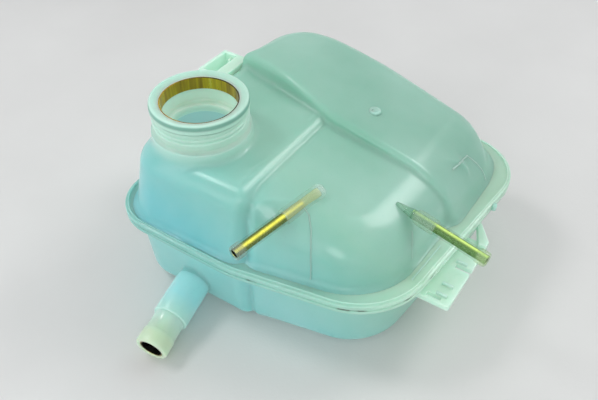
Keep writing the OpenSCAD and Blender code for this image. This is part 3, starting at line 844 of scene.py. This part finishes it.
def sleeve_brass(name, at, turn_deg, fall, outer, inner, bright, dark, facing=FACING_FRONT):
    """Brass sleeve: a painted highlight along it between painted shade on its sides, a faint painted glow on
    the highlight, random wear, and a bore painted near black as shade.
    """
    mat, tree, shader = material(name)
    _, radius, sideways = tube_space(tree, at, turn_deg, fall, facing)
    # Bright along the line that faces the facing way, dark at the sides: a painted highlight and painted
    # shade
    spread = range_map(tree, plain_math(tree, "ABSOLUTE", sideways), 0, outer / 1000)
    middle = tuple(0.5 * (p + q) for p, q in zip(bright, dark))
    colour = ramp(tree, spread, [(0.0, bright), (0.2, bright), (0.34, middle), (0.6, dark), (1.0, dark)])
    wear = range_map(tree, noise(tree, object_place(tree), 220, 4), 0.4, 0.7, 0, 0.25)
    colour = mix(tree, wear, colour, dark)
    # Near black inside the bore: painted shade
    hole = range_map(tree, radius, (inner + 0.2) / 1000, (inner + 0.05) / 1000)
    colour = mix(tree, hole, colour, (0.004, 0.004, 0.003))
    # The emission, strongest on the highlight line, is a painted glow
    set_inputs(tree, shader, Base_Color=colour, Emission_Color=colour,
               Metallic=range_map(tree, hole, 0, 1, 0.35, 0.0),
               Emission_Strength=range_map(tree, spread, 0.5, 0.1, 0.1, 0.5),
               Roughness=range_map(tree, wear, 0, 0.25, 0.22, 0.4))
    return mat


def ring_brass(name):
    """Brass band of the mouth, streaked upright, with a painted shadow line under the rim at the back right.
    """
    mat, tree, shader = material(name)
    place = object_place(tree)
    upright = vector_math(tree, "MULTIPLY", place, (1, 1, 0.06))
    streaks = range_map(tree, noise(tree, upright, 170, 4, 0.7), 0.3, 0.7)
    colour = ramp(tree, streaks, [(0.0, (0.16, 0.10, 0.01)), (0.35, (0.40, 0.24, 0.02)),
                                  (0.75, (0.60, 0.42, 0.02)), (1.0, (0.80, 0.64, 0.10))])
    rim_shadow = multiply(tree, shade_by_height(tree, place, -0.0024, -0.0020),
                          shade_by_place(tree, place, (0.7, 0.7, 0.0), -0.015, 0.012))
    colour = mix(tree, rim_shadow, colour, (0.05, 0.05, 0.01))
    set_inputs(tree, shader, Base_Color=colour, Metallic=0.6,
               Roughness=range_map(tree, streaks, 0, 1, 0.4, 0.24))
    return mat


# On the two shells, the turn from near to far colour across the part is partly the plastic's own tint and
# partly painted light and shade
body_plastic = plastic("milky_plastic", (0.15, 0.50, 0.53), (0.25, 0.515, 0.40), neck_white=0.6)
lower_plastic = plastic("milky_lower", (0.19, 0.50, 0.49), (0.24, 0.47, 0.33), glow=0.16)
neck_plastic = plastic("milky_neck", (0.40, 0.62, 0.53), (0.42, 0.64, 0.53), coat=0.3, is_neck=True)
flange_plastic = plastic("milky_flange", (0.16, 0.40, 0.36), (0.42, 0.64, 0.49), glow=0.17)
fitting_plastic = plastic("milky_fittings", (0.44, 0.66, 0.58), (0.48, 0.69, 0.55), glow=0.2)
mark_plastic = plastic("milky_marks", (0.28, 0.60, 0.60), (0.36, 0.62, 0.52), glow=0.17, coat=0.3)
at, turn_deg, length, root = OUTLET
outlet_way = direction(turn_deg, OUTLET_FALL)
outlet_at = float(outlet_way @ (np.array(at) - [0, 0, MOUTH])) / 1000
outlet_plastic = plastic("milky_outlet", (0.27, 0.62, 0.64), (0.50, 0.64, 0.44), glow=0.17,
                         way=tuple(outlet_way), start=outlet_at + 0.4 * root / 1000,
                         end=outlet_at + 1.5 * length / 1000)
left_clear = spigot_plastic("clear_left", VENTS["left"], (0.42, 0.66, 0.52), (0.28, 0.44, 0.18), None,
                            (0.34, 0.42, 0.34))
right_clear = spigot_plastic("clear_right", VENTS["right"], (0.34, 0.58, 0.40), (0.22, 0.42, 0.16),
                             (0.19, 0.44, 0.28), (0.50, 0.72, 0.34))

# For each sleeve, the first colour is its painted highlight and the second its painted shade at the sides
brass = {
    "mouth_ring": ring_brass("brass_ring"),
    "outlet_sleeve": sleeve_brass("brass_outlet", at, turn_deg, OUTLET_FALL, *OUTLET_SLEEVE,
                                  (0.5, 0.42, 0.12), (0.2, 0.15, 0.04)),
}
vent_brass = {
    "left": ((1.0, 0.92, 0.10), (0.11, 0.13, 0.01), FACING_FRONT),
    "right": ((0.60, 0.78, 0.20), (0.09, 0.20, 0.05), (0.24, -0.05, 0.9)),
}
for side, (at, turn_deg, length, root) in VENTS.items():
    brass["vent_sleeve_" + side] = sleeve_brass("brass_" + side, at, turn_deg, VENT_FALL, *VENT_SLEEVE,
                                                *vent_brass[side])

choice = {neck: neck_plastic, outlet: outlet_plastic, vent_pieces[0]: left_clear, vent_pieces[1]: right_clear}
for group, group_plastic in (
        ((socket_walls, socket_floor, socket_rib, bracket_plate, gusset), fitting_plastic),
        (marks, mark_plastic), (bars, neck_plastic), ((upper_flange, lower_flange), flange_plastic)):
    for piece in group:
        choice[piece] = group_plastic
for piece in upper_pieces + lower_pieces:
    piece.data.materials.append(choice.get(piece, lower_plastic if piece in lower_pieces else body_plastic))
    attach(piece, "root")
for piece in upper_pieces:
    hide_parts("upper_shell")
for piece in lower_pieces:
    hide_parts("lower_shell")
for name, mat in brass.items():
    mesh = nodes[name].data
    mesh.materials.clear()
    mesh.materials.append(mat)


# Floor, light and air
BACKDROP = (0.68, 0.68, 0.68)
FLOOR_Z = -0.1325
FLOOR_REACH = 30


def seen_directly(tree):
    """1 for rays that come from the camera, a mirror or glass, and 0 for the light that falls on things."""
    path = node(tree, "ShaderNodeLightPath")
    total = path.outputs["Is Camera Ray"]
    for other in ("Is Glossy Ray", "Is Transmission Ray"):
        total = plain_math(tree, "ADD", total, path.outputs[other], clamp=True)
    return total


def floor_material():
    """Pale floor with a faint cloud and grain that runs into a backdrop of its own colour far off."""
    mat, tree, shader = material("floor")
    place = object_place(tree)
    cloud = range_map(tree, noise(tree, place, 7, 5), 0.3, 0.7)
    set_inputs(tree, shader, Base_Color=mix(tree, cloud, (0.70, 0.70, 0.69), (0.75, 0.75, 0.74)),
               Roughness=range_map(tree, cloud, 0, 1, 0.7, 0.8))
    bump(tree, shader, noise(tree, place, 600, 3), 0.15, 0.0005)
    reach = vector_math(tree, "LENGTH", place)
    far_off = multiply(tree, range_map(tree, reach, 0.7, 2.4), seen_directly(tree))
    backdrop = node(tree, "ShaderNodeEmission")
    backdrop.inputs[0].default_value = (*BACKDROP, 1)
    blend = node(tree, "ShaderNodeMixShader")
    tree.links.new(far_off, blend.inputs[0])
    tree.links.new(shader.outputs[0], blend.inputs[1])
    tree.links.new(backdrop.outputs[0], blend.inputs[2])
    output = next(n for n in tree.nodes if n.type == "OUTPUT_MATERIAL")
    tree.links.new(blend.outputs[0], output.inputs[0])
    return mat


floor_mesh = bpy.data.meshes.new("floor")
floor_corners = rectangle(-FLOOR_REACH, -FLOOR_REACH, FLOOR_REACH, FLOOR_REACH)
floor_mesh.from_pydata([(x, y, FLOOR_Z) for x, y in floor_corners], [], [(0, 1, 2, 3)])
floor = bpy.data.objects.new("floor", floor_mesh)
bpy.context.scene.collection.objects.link(floor)
floor_mesh.materials.append(floor_material())


def light_from(name, azimuth, elevation, distance, size, power):
    """A soft rectangular lamp that faces the tank's middle. Angles are in degrees, lengths in metres."""
    turn, rise = math.radians(azimuth), math.radians(elevation)
    centre = Vector((0.06, 0.04, -0.06))
    way = Vector((math.cos(rise) * math.cos(turn), math.cos(rise) * math.sin(turn), math.sin(rise)))
    data = bpy.data.lights.new(name, "AREA")
    data.shape = "RECTANGLE"
    data.size, data.size_y = size
    data.energy = power
    light = bpy.data.objects.new(name, data)
    light.location = centre + way * distance
    light.rotation_euler = (centre - light.location).to_track_quat("-Z", "Y").to_euler()
    bpy.context.scene.collection.objects.link(light)


light_from("overhead", 20, 78, 1.3, (1.3, 1.3), 0.8)
light_from("back_right", 60, 46, 1.0, (0.36, 0.40), 2.7)
light_from("front_right", -62, 34, 1.0, (0.30, 0.30), 1.5)
light_from("left", -160, 52, 1.0, (0.26, 0.26), 2.2)
light_from("front_left", -105, 20, 1.2, (1.0, 0.6), 2.4)

world = bpy.data.worlds.new("air")
world.use_nodes = True
tree = world.node_tree
sky = node(tree, "ShaderNodeSeparateXYZ")
tree.links.new(node(tree, "ShaderNodeTexCoord").outputs["Generated"], sky.inputs[0])
air = ramp(tree, sky.outputs[2], [(0.0, (0.86, 0.88, 0.90)), (1.0, (0.31, 0.315, 0.32))])
tree.links.new(mix(tree, seen_directly(tree), air, BACKDROP), tree.nodes["Background"].inputs[0])
tree.nodes["Background"].inputs[1].default_value = 1.0
bpy.context.scene.world = world
bpy.context.scene.view_settings.view_transform = "Standard"
